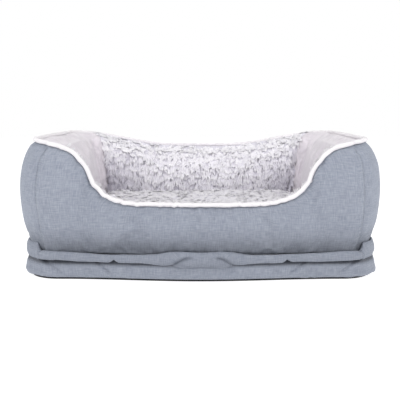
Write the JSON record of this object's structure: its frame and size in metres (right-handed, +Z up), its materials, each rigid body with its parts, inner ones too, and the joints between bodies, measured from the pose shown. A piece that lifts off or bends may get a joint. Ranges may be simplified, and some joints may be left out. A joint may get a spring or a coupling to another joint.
{
  "type": "pet cushion bed",
  "caption": "Rectangular pet bed with stuffed bolster walls, a dipped front entry, contrast piping, a folded flap over the base zip and a loose plush seat cushion.",
  "frame": {"origin": "centre of the underside, on the floor", "axes": "+X to the right across the front entry, +Y from the front entry to the back wall, +Z up"},
  "size_m": [0.722, 0.5699, 0.2756],
  "materials": {
    "outer_cloth": "woven, matt",
    "velour": "short smooth pile",
    "plush": "long frosted pile",
    "piping_cloth": "smooth",
    "wadding": "fibre fill",
    "grip_cloth": "non-slip dots",
    "zip_tape": "ribbed tape",
    "zip_coil": "moulded coil",
    "zinc": "satin plated"
  },
  "bodies": {
    "bed": {"underside_panel": "grip_cloth", "base_band": "outer_cloth", "base_pad": "wadding", "floor_panel": "outer_cloth", "front_panel": "outer_cloth", "front_lining": "velour", "front_stuffing": "wadding", "front_piping": "piping_cloth", "right_panel": "outer_cloth", "right_lining": "velour", "right_stuffing": "wadding", "right_piping": "piping_cloth", "back_panel": "outer_cloth", "back_lining": "plush", "back_stuffing": "wadding", "back_piping": "piping_cloth", "left_panel": "outer_cloth", "left_lining": "velour", "left_stuffing": "wadding", "left_piping": "piping_cloth", "front_flap": "outer_cloth", "right_flap": "outer_cloth", "back_flap": "outer_cloth", "left_flap": "outer_cloth", "zip_tape": "zip_tape", "zip_coil": "zip_coil", "zip_stop_left": "zinc", "zip_stop_right": "zinc"},
    "seat_cushion": {"cushion_cover": "plush", "cushion_backing": "outer_cloth", "cushion_stuffing": "wadding"},
    "zip_slider_body": {"zip_slider": "zinc"},
    "zip_pull_body": {"zip_pull": "zinc"}
  },
  "joints": [
    {"name": "cushion_lift", "type": "slide", "parent": "bed", "child": "seat_cushion", "axis": [0, 0, 1], "range_m": [0, 0.3]},
    {"name": "zip_travel", "type": "slide", "parent": "bed", "child": "zip_slider_body", "axis": [-1, 0, 0], "range_m": [0, 0.476]},
    {"name": "pull_swing", "type": "hinge", "parent": "zip_slider_body", "child": "zip_pull_body", "pos_m": [0.238, 0.2819, 0.025], "axis": [0, 0, -1], "range_deg": [0, 175]}
  ]
}
